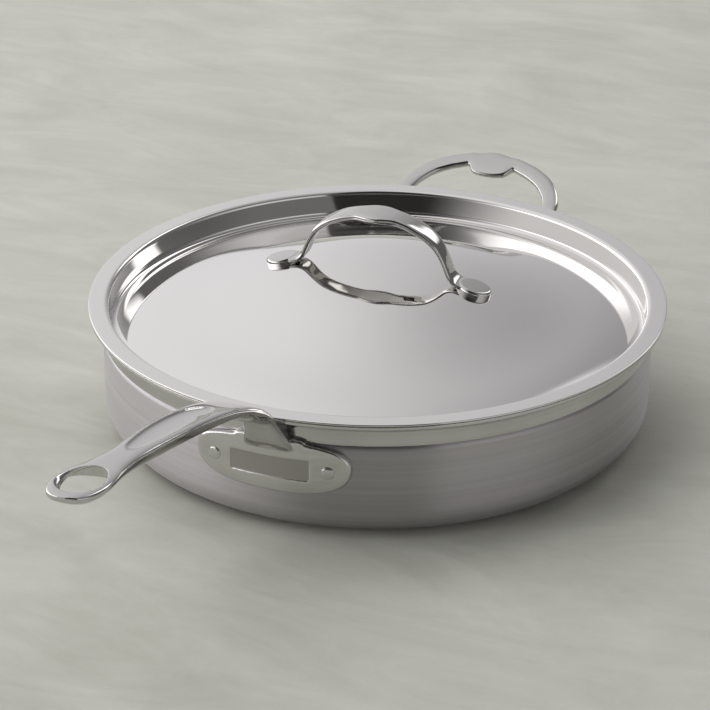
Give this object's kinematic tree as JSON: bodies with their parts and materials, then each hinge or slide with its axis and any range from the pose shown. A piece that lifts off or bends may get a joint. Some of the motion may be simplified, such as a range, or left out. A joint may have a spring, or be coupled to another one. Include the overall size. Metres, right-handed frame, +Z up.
{
  "type": "saute pan with lid",
  "caption": "Straight-sided clad saute pan with a long cast handle, a loop helper handle and a lift-off domed lid.",
  "frame": {"origin": "centre of the underside of the pan's flat base", "axes": "+Z up; the long handle points along -Y, the helper handle along +Y, and the lid's handle runs along X"},
  "size_m": [0.33, 0.6064, 0.1405],
  "materials": {
    "brushed_stainless": "brushed, polished rim band",
    "core_aluminium": "rolled",
    "inner_stainless": "fine brushed",
    "cast_stainless": "polished casting",
    "rivet_stainless": "polished",
    "lid_stainless": "mirror polished"
  },
  "bodies": {
    "pan": {"pan_outer_skin": "brushed_stainless", "pan_core": "core_aluminium", "pan_inner_skin": "inner_stainless", "main_handle": "cast_stainless", "main_handle_rivets": "rivet_stainless", "helper_handle": "cast_stainless", "helper_handle_rivets": "rivet_stainless"},
    "lid": {"lid_shell": "lid_stainless", "lid_handle": "cast_stainless"}
  },
  "joints": [
    {"name": "lid_lift", "type": "slide", "parent": "pan", "child": "lid", "axis": [0, 0, 1], "range_m": [0, 0.12]}
  ]
}
